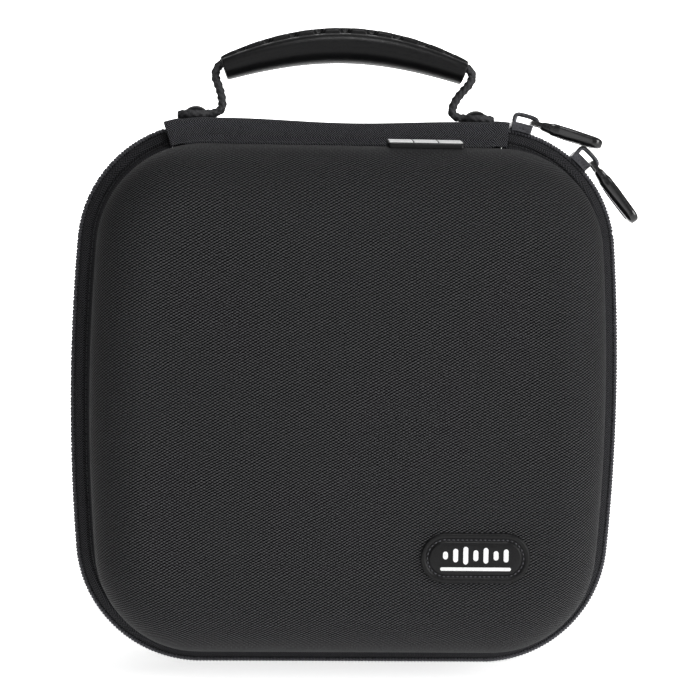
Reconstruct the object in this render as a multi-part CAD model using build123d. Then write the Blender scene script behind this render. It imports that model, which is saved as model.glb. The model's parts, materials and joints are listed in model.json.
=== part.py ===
from build123d import *
import math
import os

# A hard-shell headphone case. It stands on its zipper: +Z is up, -Y is the front (the lid), +X is
# the right side as seen from the front. The origin is on the floor, on the parting plane y = 0.
# Sizes are in millimetres.

# --- the outline of the zipper, which is the widest part of the case
case_width = 222.0
case_height = 218.4
corner_radius = 51.0
side_bow_radius = 770.0      # the two sides bulge a little, and the top and bottom are straight

# --- the two moulded halves
half_depth = 50.0            # from the parting plane to the flat face of either half
rim_offset = 10.0            # from the parting plane to the rim of either half
rim_inset = 8.8              # how far the rim lies inside the zipper's outline
wall_draft = 3.0             # degrees
face_fillet = 22.0
cover_thickness = 0.8        # woven nylon
foam_thickness = 4.2         # moulded EVA
lining_thickness = 0.8       # brushed knit
binding_thickness = 1.2
binding_depth = 7.0          # down the inner wall
binding_lip = 1.0            # over the rim
binding_setback = 2.4        # from the outer wall to the lip's edge

# --- the zipper
chain_slit = 1.2             # between the two rows of coils
coil_width = 2.0
coil_height = 3.0
tape_thickness = 1.5         # measured square to the outline
tape_step = 0.5              # the tape starts this far below the coil's outer face
zip_gap = 0.8                # between the lid's tape and the stretch that the sliders hold

# --- the webbing over the hinge
strip_length = 137.2
hinge_offset = -5.0          # the webbing and the rivets lie this far left of the middle
strip_thickness = 1.6
strip_flat = 8.2             # half the width of its flat top
strip_end_gap = 0.3
spine_lining_thickness = 1.0
spine_lining_width = 12.0    # each half
spine_lining_setback = 6.0   # from the start of each corner
spine_lining_gap = 0.2       # below the binding

# --- the sliders
slider_width = 9.0
slider_half_angle = 4.6      # degrees, about the centre of the corner
slider_strip_gap = 1.8       # degrees between the webbing's end and the upper slider
slider_spacing = 30.5        # degrees from one slider to the next
upper_slider_travel = 8.0
lower_slider_travel = 22.0
wing_gap = 0.4               # between the coils and the slider's upper wing
upper_wing_thickness = 2.6
lower_wing_thickness = 1.5
flange_width = 1.2
flange_height = 1.1
web_thickness = 0.6
bridge_width = 3.0
bridge_rise = 4.2            # from the upper wing to the bridge's top
bridge_thickness = 1.5
bridge_half_angle = 6.2
bridge_tail_setback = 2.2    # degrees

# --- the pulls
pivot_lead = 4.3             # degrees from the slider's middle to the pull's bar
bar_radius = 0.9
bar_gap = 0.3                # between the bar and the bridge
link_arm_width = 1.2
link_side_gap = 0.5          # between the link's arms and the bridge
link_reach = 7.5
pull_start = 3.3             # from the bar's axis
pull_length = 26.4
pull_width = 9.4
pull_neck_width = 6.4
pull_neck_thickness = 3.0
pull_grip_thickness = 4.7
upper_pull_lean = 3.2        # degrees outwards from the tangent at the bar
lower_pull_lean = -5.0

# --- the handle
handle_offset = 5.0          # the rivets lie this far behind the parting plane
rivet_half_span = 56.6
rivet_shank_radius = 1.4
rivet_head_radius = 4.0
rivet_head_height = 1.6
washer_radius = 2.1
washer_thickness = 1.2
loop_height = 3.6
loop_half_width = 4.6
loop_outer_reach = 7.8       # from the rivet's axis
loop_inner_reach = 4.8
loop_fillet = 1.6
loop_skirt = 1.4             # the loop's pad follows the webbing down round the corner by up to this
rope_radius = 1.5
rope_clearance = 0.5         # between the rope and the webbing
grip_offset = -2.0
grip_length = 97.0
grip_depth = 18.0
grip_bottom_middle = 24.8    # heights above the webbing
grip_bottom_end = 17.0
grip_top_middle = 38.3
grip_top_end = 25.9
grip_fillet = 3.3
grip_groove_width = 1.6
grip_groove_depth = 0.9
grip_rail_width = 10.0       # the raised rail along the top
grip_rail_height = 1.6
dimple_count = 9
dimple_pitch = 10.0
dimple_radius = 2.0
dimple_depth = 2.2

# --- the badge on the lid and the label over its top edge
badge_x = 48.5
badge_height_above_floor = 50.9
badge_length = 42.4
badge_width = 19.4
badge_thickness = 1.6
badge_rim = 2.0
badge_groove = 1.4
badge_groove_depth = 0.7
mark_bar_heights = (3.0, 5.2, 6.8, 4.2, 6.0, 3.6, 5.0)
mark_bar_width = 1.9
mark_bar_pitch = 3.9
mark_line_height = 1.3
mark_line_gap = 1.2
mark_thickness = 0.3
label_left = 13.7
label_length = 29.0
label_near = 34.0            # distances from the parting plane
label_far = 20.0
label_thickness = 1.8

# --- the pocket inside the lid
pocket_width = 144.0
pocket_height = 84.0
pocket_corner = 18.0
pocket_bottom = 38.0         # above the floor
pocket_mesh_thickness = 0.8
pocket_binding_width = 5.0
pocket_binding_thickness = 1.2
pocket_elastic_height = 8.0
pocket_elastic_thickness = 1.8
pocket_elastic_overhang = 2.0

# --- worked out from the sizes above
half_width = case_width / 2
mid_z = case_height / 2
webbing_top = case_height + strip_thickness
corner_z = case_height - corner_radius
side_angle = math.asin((mid_z - corner_radius) / (side_bow_radius - corner_radius))
corner_x = half_width - side_bow_radius + (side_bow_radius - corner_radius) * math.cos(side_angle)
coil_start = chain_slit / 2
coil_end = coil_start + coil_width
strip_left = hinge_offset - strip_length / 2
strip_right = hinge_offset + strip_length / 2
strip_end_angle = math.degrees(math.asin(max(strip_right - corner_x, 0) / (corner_radius + strip_thickness)))
upper_slider_angle = strip_end_angle + slider_strip_gap + slider_half_angle
lower_slider_angle = upper_slider_angle + slider_spacing
wall_thickness = cover_thickness + foam_thickness + lining_thickness
big = 2 * (case_width + case_height)


def outline(inset, y):
    """The case's rounded outline, moved in by inset all round, as a face at depth y."""
    top = mid_z - inset
    bow = side_bow_radius - inset
    corner = corner_radius - inset
    turn = (math.pi / 2 + side_angle) / 2
    end_x = half_width - side_bow_radius + bow * math.cos(side_angle)
    end_z = bow * math.sin(side_angle)
    knee_x = corner_x + corner * math.cos(turn)
    knee_z = corner_z - mid_z + corner * math.sin(turn)
    edges = [
        Line((-corner_x, top), (corner_x, top)),
        ThreePointArc((corner_x, top), (knee_x, knee_z), (end_x, end_z)),
        ThreePointArc((end_x, end_z), (half_width - inset, 0), (end_x, -end_z)),
        ThreePointArc((end_x, -end_z), (knee_x, -knee_z), (corner_x, -top)),
        Line((corner_x, -top), (-corner_x, -top)),
        ThreePointArc((-corner_x, -top), (-knee_x, -knee_z), (-end_x, -end_z)),
        ThreePointArc((-end_x, -end_z), (inset - half_width, 0), (-end_x, end_z)),
        ThreePointArc((-end_x, end_z), (-knee_x, knee_z), (-corner_x, top)),
    ]
    plane = Plane((0, y, mid_z), x_dir=(1, 0, 0), z_dir=(0, -1, 0))
    return plane * Face(Wire(edges))


def stack(points):
    """The solid inside a profile of (depth y, inset) points carried round the case's outline."""
    solid = None
    for (y0, inset0), (y1, inset1) in zip(points, points[1:]):
        if y1 > y0:
            slab = loft([outline(inset0, y0), outline(inset1, y1)], ruled=True)
            solid = slab if solid is None else solid + slab
    return solid


def band(outer, inner):
    """A ring round the case between two profiles of (depth y, inset) points."""
    return stack(outer) - stack(inner)


def bowl(offset):
    """The back half's outer volume, moved in by offset, with its face edge rounded."""
    depth = half_depth - offset
    draft = math.tan(math.radians(wall_draft)) * (depth - rim_offset)
    solid = stack([(rim_offset, rim_inset + offset), (depth, rim_inset + offset + draft)])
    face = solid.faces().sort_by(Axis.Y)[-1]
    return fillet(face.edges(), face_fillet - offset)


def block(x0, x1, y0, y1, z0, z1):
    """A box given by its lowest and highest corners."""
    return Pos((x0 + x1) / 2, (y0 + y1) / 2, (z0 + z1) / 2) * Box(x1 - x0, y1 - y0, z1 - z0)


def front(solid):
    """The same piece on the front half."""
    return mirror(solid, about=Plane.XZ)


def around_corner(radius0, radius1, half_y, angle0, angle1):
    """A piece of a ring about the corner's axis, between two angles from straight up."""
    plane = Plane((corner_x, 0, corner_z), x_dir=(1, 0, 0), z_dir=(0, -1, 0))
    a0, a1 = math.radians(angle0), math.radians(angle1)
    mid = (a0 + a1) / 2

    def at(radius, angle):
        return (radius * math.sin(angle), radius * math.cos(angle))

    edges = [
        ThreePointArc(at(radius1, a0), at(radius1, mid), at(radius1, a1)),
        Line(at(radius1, a1), at(radius0, a1)),
        ThreePointArc(at(radius0, a1), at(radius0, mid), at(radius0, a0)),
        Line(at(radius0, a0), at(radius1, a0)),
    ]
    return extrude(plane * Face(Wire(edges)), half_y, both=True)


def save(name, shape):
    """Writes one sub-part, whose file name is its node name."""
    solids = list(shape.solids())
    body = solids[0] if len(solids) == 1 else Compound(solids)
    body.label = name
    export_step(body, f"parts/{name}.step")


os.makedirs("parts", exist_ok=True)

# --- the two halves: cover, foam and lining, one inside the other
bowl_0 = bowl(0)
bowl_1 = bowl(cover_thickness)
bowl_2 = bowl(cover_thickness + foam_thickness)
bowl_3 = bowl(wall_thickness)
cover = bowl_0 - bowl_1
foam = bowl_1 - bowl_2
lining = bowl_2 - bowl_3
for name, solid in (("cover", cover), ("shell", foam), ("lining", lining)):
    save(f"back_{name}", solid)
    save(f"front_{name}", front(solid))

# --- the bias binding over each rim: a lip over the edge and a skirt down the lining
slope = math.tan(math.radians(wall_draft))
inner_inset = rim_inset + wall_thickness
lip = band(
    [(rim_offset - binding_lip, rim_inset + binding_setback),
     (rim_offset, rim_inset + binding_setback)],
    [(rim_offset - binding_lip, inner_inset + binding_thickness),
     (rim_offset, inner_inset + binding_thickness)],
)
skirt = band(
    [(rim_offset, inner_inset),
     (rim_offset + binding_depth, inner_inset + slope * binding_depth)],
    [(rim_offset, inner_inset + binding_thickness),
     (rim_offset + binding_depth, inner_inset + binding_thickness + slope * binding_depth)],
)
binding = lip + skirt
save("back_binding", binding)
save("front_binding", front(binding))

# --- the zipper: a row of coils at the crest and a tape that slopes down to the rim
coil_ring = band([(coil_start, 0), (coil_end, 0)],
                 [(coil_start, coil_height), (coil_end, coil_height)])
tape_ring = band([(coil_end, tape_step), (rim_offset, rim_inset)],
                 [(coil_end, tape_step + tape_thickness),
                  (rim_offset, rim_inset + tape_thickness)])
under_strip = block(strip_left - strip_end_gap, strip_right + strip_end_gap,
                    -half_depth, half_depth, mid_z, big)
last_slider = lower_slider_angle + upper_slider_travel + lower_slider_travel + slider_half_angle
held_below = corner_z + (corner_radius - coil_height) * math.cos(math.radians(last_slider + 3))
held = block(mid_z / 2, big, -half_depth, half_depth, held_below + zip_gap / 2, big)
not_held = block(mid_z / 2, big, -half_depth, half_depth, held_below - zip_gap / 2, big)
for name, ring in (("zipper_coil", coil_ring), ("zipper_tape", tape_ring)):
    open_ring = ring - under_strip
    save(f"back_{name}", open_ring)
    save(f"front_{name}", front(open_ring) - not_held)
    save(f"front_{name}_in_sliders", front(open_ring) & held)

# --- the webbing over the hinge, in two halves that meet on the hinge line, and its lining
strip_ring = band(
    [(0, -strip_thickness), (strip_flat, -strip_thickness), (rim_offset, rim_inset)],
    [(0, 0), (strip_flat - 1.1, 0),
     (rim_offset - 1.1, rim_inset + strip_thickness), (rim_offset, rim_inset + strip_thickness)],
)
strip = strip_ring & block(strip_left, strip_right, 0, half_depth, mid_z, big)
rivet_xs = (hinge_offset - rivet_half_span, hinge_offset + rivet_half_span)
shank_bottom = case_height - washer_thickness
shanks = [
    Pos(x, handle_offset, shank_bottom)
    * Cylinder(rivet_shank_radius, webbing_top - shank_bottom + loop_height,
               align=(Align.CENTER, Align.CENTER, Align.MIN))
    for x in rivet_xs
]
save("hinge_strip_front", front(strip))
save("hinge_strip_back", strip - shanks[0] - shanks[1])
spine_top = case_height - inner_inset - binding_thickness - spine_lining_gap
spine = block(spine_lining_setback - corner_x, corner_x - spine_lining_setback,
              0, spine_lining_width, spine_top - spine_lining_thickness, spine_top)
save("spine_lining_back", spine)
save("spine_lining_front", front(spine))

# --- the rivets, their washers and the rope's end loops
heads, washers, loops = [], [], []
rope_z = webbing_top + rope_clearance + rope_radius
stub_ends = []
for x, outwards in zip(rivet_xs, (-1, 1)):
    head_base = webbing_top + loop_height
    sphere_radius = (rivet_head_radius ** 2 + rivet_head_height ** 2) / (2 * rivet_head_height)
    head = Pos(x, handle_offset, head_base + rivet_head_height - sphere_radius) * Sphere(sphere_radius)
    head &= Pos(x, handle_offset, head_base) * Cylinder(
        rivet_head_radius, rivet_head_height, align=(Align.CENTER, Align.CENTER, Align.MIN))
    heads.append(head)
    washer = Pos(x, handle_offset, shank_bottom) * Cylinder(
        washer_radius, washer_thickness, align=(Align.CENTER, Align.CENTER, Align.MIN))
    washers.append(washer)
    reach = (loop_outer_reach - loop_inner_reach) / 2
    pad = Pos(x + outwards * reach, handle_offset, webbing_top - loop_skirt) * extrude(
        SlotOverall(loop_outer_reach + loop_inner_reach, 2 * loop_half_width), loop_height + loop_skirt)
    pad = fillet(pad.edges().group_by(Axis.Z)[-1], loop_fillet) - strip
    stub_end = x - outwards * (loop_inner_reach + 0.4)
    stub = Pos((x + stub_end) / 2, handle_offset, rope_z) * Rot(0, 90, 0) * Cylinder(
        rope_radius, abs(x - stub_end))
    stub_ends.append(stub_end)
    loops.append(pad + stub)
rivets = [shank + head for shank, head in zip(shanks, heads)]
save("handle_rivets", Compound(rivets))
save("rivet_washers", Compound([w - s - strip for w, s in zip(washers, shanks)]))
save("rope_loop_left", loops[0] - shanks[0])
save("rope_loop_right", loops[1] - shanks[1])

# --- the handle's rope, which runs from one loop through the grip to the other
rope_points = [
    (stub_ends[0], rope_z),
    (-50.9, rope_z), (-51.3, 230.2), (-55.0, 238.8), (-49.6, 244.2),
    (-30.0, 249.6), (-2.0, 252.4), (26.0, 249.6),
    (45.6, 244.4), (51.6, 238.6), (42.6, 229.2), (41.4, rope_z),
    (stub_ends[1], rope_z),
]
corners = [Vector(x, handle_offset, z) for x, z in rope_points]
bends = []
for before, point, after in zip(corners, corners[1:], corners[2:]):
    run_in, run_out = point - before, after - point
    half_turn = math.radians(run_in.get_angle(run_out) / 2)
    bends.append(0.45 * min(run_in.length, run_out.length) / math.tan(half_turn))
print("rope bends", [round(bend, 1) for bend in bends])
rope_path = FilletPolyline(*corners, radius=bends)
rope_start = Plane(corners[0], x_dir=(0, 1, 0), z_dir=(1, 0, 0))
rope = sweep(rope_start * Circle(rope_radius), path=rope_path)
print("rope length", round(rope_path.length, 1), "volume over section",
      round(rope.volume / (math.pi * rope_radius ** 2), 1))
save("handle_rope", rope)

# --- the grip: an arched bar with a raised rail, a groove under it and a row of dimples


def arched(length, bottom_middle, bottom_end, top_middle, top_end, depth):
    """A bar between two arcs over the webbing, its middle over the grip's centre."""
    plane = Plane((grip_offset, handle_offset, webbing_top), x_dir=(1, 0, 0), z_dir=(0, -1, 0))
    half = length / 2
    edges = [
        ThreePointArc((-half, bottom_end), (0, bottom_middle), (half, bottom_end)),
        Line((half, bottom_end), (half, top_end)),
        ThreePointArc((half, top_end), (0, top_middle), (-half, top_end)),
        Line((-half, top_end), (-half, bottom_end)),
    ]
    return extrude(plane * Face(Wire(edges)), depth / 2, both=True)


grip_body = arched(grip_length, grip_bottom_middle, grip_bottom_end,
                   grip_top_middle - grip_rail_height, grip_top_end - grip_rail_height / 2, grip_depth)
grip_body = fillet(grip_body.edges().filter_by(GeomType.CIRCLE), grip_fillet)
grip_rail = arched(grip_length - 2, grip_bottom_middle + 6, grip_bottom_end + 4,
                   grip_top_middle, grip_top_end, grip_rail_width)
grip_rail = fillet(
    [e for e in grip_rail.edges().filter_by(GeomType.CIRCLE)
     if e.center().Z > webbing_top + grip_top_end], grip_rail_height / 2)
grip = grip_body + grip_rail
dimple_rise = grip_top_middle - grip_top_end
top_radius = ((grip_length / 2) ** 2 + dimple_rise ** 2) / (2 * dimple_rise)
for i in range(dimple_count):
    across = (i - (dimple_count - 1) / 2) * dimple_pitch
    lean = math.degrees(math.asin(across / top_radius))
    height = grip_top_middle - top_radius * (1 - math.cos(math.radians(lean)))
    dimple = Cylinder(dimple_radius, 2 * dimple_depth)
    grip -= Pos(grip_offset + across, handle_offset, webbing_top + height) * Rot(0, lean, 0) * dimple
save("handle_grip", grip - rope)

# --- the sliders: two wings joined by a thin web, a bridge, a wire link and a moulded pull


def slider_body(angle):
    """One slider's cast body, centred at an angle round the corner."""
    a0, a1 = angle - slider_half_angle, angle + slider_half_angle
    half = slider_width / 2
    wing = corner_radius + wing_gap
    top = wing + upper_wing_thickness
    tape_inner = (corner_radius - tape_step - tape_thickness
                  - (half - coil_end) * (rim_inset - tape_step) / (rim_offset - coil_end))
    below = tape_inner - wing_gap
    body = around_corner(wing, top, half, a0, a1)
    body += around_corner(below - lower_wing_thickness, below, half, a0, a1)
    body += around_corner(below, wing, web_thickness / 2, a0, a0 + slider_half_angle)
    flange = around_corner(wing - flange_height, wing, half, a0, a1)
    flange -= around_corner(wing - flange_height - 1, wing + 1, half - flange_width, a0 - 1, a1 + 1)
    return body + flange, top


def slider_bridge(angle, top):
    """The bridge over the slider, open at its nose."""
    crest = top + bridge_rise
    under = crest - bridge_thickness
    a0, a1 = angle - bridge_half_angle + bridge_tail_setback, angle + bridge_half_angle
    foot = math.degrees(bridge_thickness * 1.6 / top)
    bridge = around_corner(under, crest, bridge_width / 2, a0, a1)
    bridge += around_corner(top, under, bridge_width / 2, a0, a0 + foot)
    return bridge


def at_corner(radius, angle):
    """A point on the parting plane, at a radius and an angle round the corner."""
    a = math.radians(angle)
    return Vector(corner_x + radius * math.sin(a), 0, corner_z + radius * math.cos(a))


def pull_frame(pivot, direction):
    """A plane whose X runs along the pull, from its bar, and whose Y points outwards."""
    a = math.radians(direction)
    return Plane(pivot, x_dir=(math.cos(a), 0, -math.sin(a)), z_dir=(0, -1, 0))


def pull_link(frame):
    """A wire link: a bar under the bridge, two arms and a cross bar inside the pull."""
    inner = bridge_width / 2 + link_side_gap
    outer = inner + link_arm_width
    link = frame * extrude(Circle(bar_radius), outer, both=True)
    arm = frame * Pos(link_reach / 2, 0) * extrude(
        Rectangle(link_reach, 2 * bar_radius), outer, both=True)
    hole = frame * Pos((link_reach - link_arm_width) / 2, 0) * extrude(
        Rectangle(link_reach - link_arm_width, 4 * bar_radius), inner, both=True)
    return link + (arm - hole)


def pull_grip(frame):
    """The moulded pull: a neck, a thicker stepped pad and a rounded end."""
    neck, pad = pull_neck_thickness / 2, pull_grip_thickness / 2
    end = pull_start + pull_length
    profile = Polyline(
        (pull_start, -neck), (pull_start + 7, -neck), (pull_start + 9, -pad), (end - 2, -pad),
        (end, -pad + 1.4), (end, pad - 1.4), (end - 2, pad), (pull_start + 4, pad),
        (pull_start + 3, neck), (pull_start, neck), (pull_start, -neck))
    bar = frame * extrude(make_face(profile), pull_width / 2, both=True)
    plan = Plane(frame.origin, x_dir=frame.x_dir, z_dir=frame.y_dir)
    middle = (pull_start + end) / 2
    outline_edges = Polyline(
        (pull_start, -pull_neck_width / 2), (middle, -pull_neck_width / 2 - 0.6),
        (end - 3, -pull_width / 2), (end - 0.4, -pull_width / 2 + 2.2), (end - 0.4, pull_width / 2 - 2.2),
        (end - 3, pull_width / 2), (middle, pull_neck_width / 2 + 0.6),
        (pull_start, pull_neck_width / 2), (pull_start, -pull_neck_width / 2))
    plan_form = plan * extrude(make_face(outline_edges), pull_grip_thickness, both=True)
    return bar & plan_form


for name, angle, lean in (("upper", upper_slider_angle, upper_pull_lean),
                          ("lower", lower_slider_angle, lower_pull_lean)):
    body, top = slider_body(angle)
    save(f"{name}_slider_body", body)
    save(f"{name}_slider_bridge", slider_bridge(angle, top))
    bar_radius_out = top + bridge_rise - bridge_thickness - bar_gap - bar_radius
    pivot = at_corner(bar_radius_out, angle + pivot_lead)
    frame = pull_frame(pivot, angle + pivot_lead - lean)
    link = pull_link(frame)
    save(f"{name}_pull_link", link)
    save(f"{name}_pull_grip", pull_grip(frame) - link)
    print(name, "pull pivot", [round(v, 3) for v in pivot])

# --- the badge on the lid, its plain mark, and the rubber label over the lid's top edge
badge_plane = Plane((badge_x, -half_depth, badge_height_above_floor), x_dir=(1, 0, 0), z_dir=(0, -1, 0))


def stadium(shrink, thickness):
    """The badge's outline moved in by shrink, as a plate of the given thickness."""
    slot = SlotOverall(badge_length - 2 * shrink, badge_width - 2 * shrink)
    return extrude(slot, thickness)


badge = stadium(0, badge_thickness)
badge = fillet(badge.edges().group_by(Axis.Z)[-1], 0.6)
groove = stadium(badge_rim, badge_thickness) - stadium(badge_rim + badge_groove, badge_thickness)
badge -= Pos(0, 0, badge_thickness - badge_groove_depth) * groove
save("badge_plate", badge_plane * badge)
mark_count = len(mark_bar_heights)
mark = []
for i, height in enumerate(mark_bar_heights):
    bar = extrude(SlotOverall(height, mark_bar_width, rotation=90), mark_thickness)
    mark.append(Pos((i - (mark_count - 1) / 2) * mark_bar_pitch, mark_line_gap) * bar)
line = extrude(SlotOverall(mark_bar_pitch * mark_count, mark_line_height), mark_thickness)
mark.append(Pos(0, mark_line_gap - max(mark_bar_heights) / 2 - mark_line_gap - mark_line_height / 2) * line)
save("badge_mark", badge_plane * Pos(0, 0, badge_thickness) * Compound(mark))
label_zone = block(label_left, label_left + label_length, label_far, label_near, mid_z, big)
save("edge_label", front((bowl(-label_thickness) - bowl_0) & label_zone))

# --- the pocket on the lid's inner face: a mesh panel, its binding and its elastic top hem
floor_y = -(half_depth - wall_thickness)
pocket_plane = Plane((0, floor_y, pocket_bottom), x_dir=(1, 0, 0), z_dir=(0, -1, 0))


def pocket_panel(shrink, thickness):
    """The pocket's outline, square at the top and rounded at the bottom, moved in by shrink."""
    half, low, high, bend = pocket_width / 2 - shrink, shrink, pocket_height, pocket_corner - shrink
    mid = bend * (1 - math.sqrt(0.5))
    edges = [
        Line((-half, high), (-half, low + bend)),
        ThreePointArc((-half, low + bend), (-half + mid, low + mid), (-half + bend, low)),
        Line((-half + bend, low), (half - bend, low)),
        ThreePointArc((half - bend, low), (half - mid, low + mid), (half, low + bend)),
        Line((half, low + bend), (half, high)),
        Line((half, high), (-half, high)),
    ]
    return extrude(Face(Wire(edges)), -thickness)


mesh_panel = pocket_panel(0, pocket_mesh_thickness)
save("pocket_mesh", pocket_plane * mesh_panel)
frame_pocket = pocket_panel(0, pocket_binding_thickness) - pocket_panel(
    pocket_binding_width, pocket_binding_thickness)
frame_pocket = Pos(0, 0, -pocket_mesh_thickness) * frame_pocket
elastic_zone = Pos(0, pocket_height - pocket_elastic_height / 2) * Box(
    pocket_width + 2 * pocket_elastic_overhang, pocket_elastic_height, 4 * pocket_elastic_thickness)
save("pocket_binding", pocket_plane * (frame_pocket - elastic_zone))
elastic = Pos(0, pocket_height - pocket_elastic_height / 2,
              -pocket_mesh_thickness - pocket_elastic_thickness / 2) * Box(
    pocket_width, pocket_elastic_height, pocket_elastic_thickness)
save("pocket_elastic", pocket_plane * elastic)

print("corner axis", round(corner_x, 3), round(corner_z, 3))
print("lid hinge z", round(webbing_top, 3), "handle axis", handle_offset, round(rope_z, 3))
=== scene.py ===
import json
import math

import bmesh
import bpy
import numpy as np
from mathutils import Euler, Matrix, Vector


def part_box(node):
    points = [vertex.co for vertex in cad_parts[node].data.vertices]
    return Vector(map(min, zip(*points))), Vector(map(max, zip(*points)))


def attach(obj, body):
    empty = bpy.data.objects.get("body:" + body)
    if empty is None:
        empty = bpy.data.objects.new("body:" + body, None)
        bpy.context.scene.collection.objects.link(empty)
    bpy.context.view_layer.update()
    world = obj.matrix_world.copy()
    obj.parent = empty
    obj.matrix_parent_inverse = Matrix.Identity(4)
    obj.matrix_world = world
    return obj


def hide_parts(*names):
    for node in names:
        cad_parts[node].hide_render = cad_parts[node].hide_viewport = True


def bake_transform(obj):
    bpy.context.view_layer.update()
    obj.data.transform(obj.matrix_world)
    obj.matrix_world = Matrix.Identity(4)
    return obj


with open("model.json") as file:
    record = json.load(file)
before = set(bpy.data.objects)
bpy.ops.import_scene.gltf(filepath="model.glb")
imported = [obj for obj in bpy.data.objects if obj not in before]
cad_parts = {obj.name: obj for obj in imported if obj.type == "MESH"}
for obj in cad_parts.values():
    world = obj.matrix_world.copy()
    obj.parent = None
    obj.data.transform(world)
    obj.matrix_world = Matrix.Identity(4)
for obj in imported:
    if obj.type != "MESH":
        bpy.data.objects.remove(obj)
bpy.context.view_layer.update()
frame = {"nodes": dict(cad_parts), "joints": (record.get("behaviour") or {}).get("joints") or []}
mm = 0.001


# --- Camera and studio ---
# The case stands on a white sweep. A long lens looks at it from just left of straight on and a
# little above, and is turned by less than a degree.
target = Vector((0, 0, 109.2 * mm))
view_angle, view_rise, view_distance = math.radians(-3), math.radians(4.5), 800 * mm
lens = bpy.data.cameras.new("camera")
lens.sensor_width = 36
lens.lens = 102.95
lens.shift_x, lens.shift_y = -0.0016, 0.0747
lens.clip_end = 20
camera = bpy.data.objects.new("camera", lens)
bpy.context.scene.collection.objects.link(camera)
bpy.context.scene.camera = camera
bpy.context.scene.view_settings.view_transform = "Standard"
camera.location = target + view_distance * Vector((
    math.sin(view_angle) * math.cos(view_rise),
    -math.cos(view_angle) * math.cos(view_rise),
    math.sin(view_rise)))
turned = Euler((math.pi / 2 - view_rise, 0, view_angle)).to_matrix()
camera.rotation_euler = (turned @ Euler((0, 0, math.radians(0.88))).to_matrix()).to_euler()


def add(tree, kind, inputs=None, **settings):
    """Adds a node. Each input is a value, another node (its first output) or an output socket."""
    node = tree.nodes.new(kind)
    for key, value in settings.items():
        setattr(node, key, value)
    for key, value in (inputs or {}).items():
        if isinstance(value, bpy.types.Node):
            value = value.outputs[0]
        if isinstance(value, bpy.types.NodeSocket):
            tree.links.new(value, node.inputs[key])
        else:
            node.inputs[key].default_value = value
    return node


def linear(colour):
    """An sRGB hex colour as linear red, green, blue and alpha."""
    channels = np.array([int(colour[i:i + 2], 16) for i in (1, 3, 5)]) / 255
    bright = ((channels + 0.055) / 1.055) ** 2.4
    return (*np.where(channels <= 0.04045, channels / 12.92, bright), 1.0)


def material(name, colour, roughness, **inputs):
    """A new material with its shader's plain values set. Returns it, its nodes and its shader."""
    made = bpy.data.materials.new(name)
    made.use_nodes = True
    shader = made.node_tree.nodes["Principled BSDF"]
    shader.inputs["Base Color"].default_value = linear(colour)
    shader.inputs["Roughness"].default_value = roughness
    for key, value in inputs.items():
        shader.inputs[key.replace("_", " ")].default_value = value
    return made, made.node_tree, shader


def shaded(tree, shader, share, dark, light, height, depth):
    """Ends a material: a colour from dark to light by share, and a relief from height."""
    colour = add(tree, "ShaderNodeMix", {0: share, 6: linear(dark), 7: linear(light)}, data_type="RGBA")
    tree.links.new(colour.outputs[2], shader.inputs["Base Color"])
    bump = add(tree, "ShaderNodeBump", {"Height": height, "Distance": depth})
    tree.links.new(bump.outputs[0], shader.inputs["Normal"])


def grained(name, dark, light, grain, depth, gloss, chart="Object", **inputs):
    """A colour broken up by noise of one grain size. The noise also sets gloss and relief."""
    made, tree, shader = material(name, light, gloss[0], **inputs)
    place = add(tree, "ShaderNodeTexCoord").outputs[chart]
    noise = add(tree, "ShaderNodeTexNoise", {"Vector": place, "Scale": 1 / grain, "Detail": 4.0})
    share = add(tree, "ShaderNodeMapRange", {"Value": noise, 1: 0.35, 2: 0.65})
    shine = add(tree, "ShaderNodeMapRange", {"Value": noise, 1: 0.35, 2: 0.65, 3: gloss[0], 4: gloss[1]})
    tree.links.new(shine.outputs[0], shader.inputs["Roughness"])
    shaded(tree, shader, share, dark, light, noise, depth)
    return made


def mesh_object(name, points, faces, chart=None):
    """A smooth mesh from arrays of points, quads and face-corner UVs, with doubled points merged."""
    mesh = bpy.data.meshes.new(name)
    mesh.from_pydata(points.reshape(-1, 3).tolist(), [], faces.reshape(-1, 4).tolist())
    if chart is not None:
        mesh.uv_layers.new(name="chart").data.foreach_set("uv", chart.astype(np.float32).ravel())
    merged = bmesh.new()
    merged.from_mesh(mesh)
    bmesh.ops.remove_doubles(merged, verts=merged.verts, dist=1e-6)
    merged.to_mesh(mesh)
    merged.free()
    mesh.shade_smooth()
    made = bpy.data.objects.new(name, mesh)
    bpy.context.scene.collection.objects.link(made)
    return made


# The paper, in metres: flat under the case, then a quarter circle behind it, then upright.
floor_along = np.concatenate([[-3.0], np.linspace(1.2, 2.2, 13), [2.2]])
floor_rise = np.concatenate([[0], 1.0 - np.sqrt(1 - np.linspace(0, 1.0, 13) ** 2), [4.0]])
floor_points = np.array([[[x, y, z] for y, z in zip(floor_along, floor_rise)] for x in (-4.0, 4.0)])
floor_count = len(floor_along)
floor_faces = np.array([[i + floor_count, i + floor_count + 1, i + 1, i] for i in range(floor_count - 1)])
floor = mesh_object("floor", floor_points, floor_faces)
# The paper's white emission is painted light: it glows and lights the case though it is no lamp.
sweep_paper = grained("white sweep paper", "#f4f4f4", "#ffffff", 3 * mm, 0.01 * mm, (0.8, 0.9),
                      Emission_Color=(1, 1, 1, 1))
paper = sweep_paper.node_tree
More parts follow.
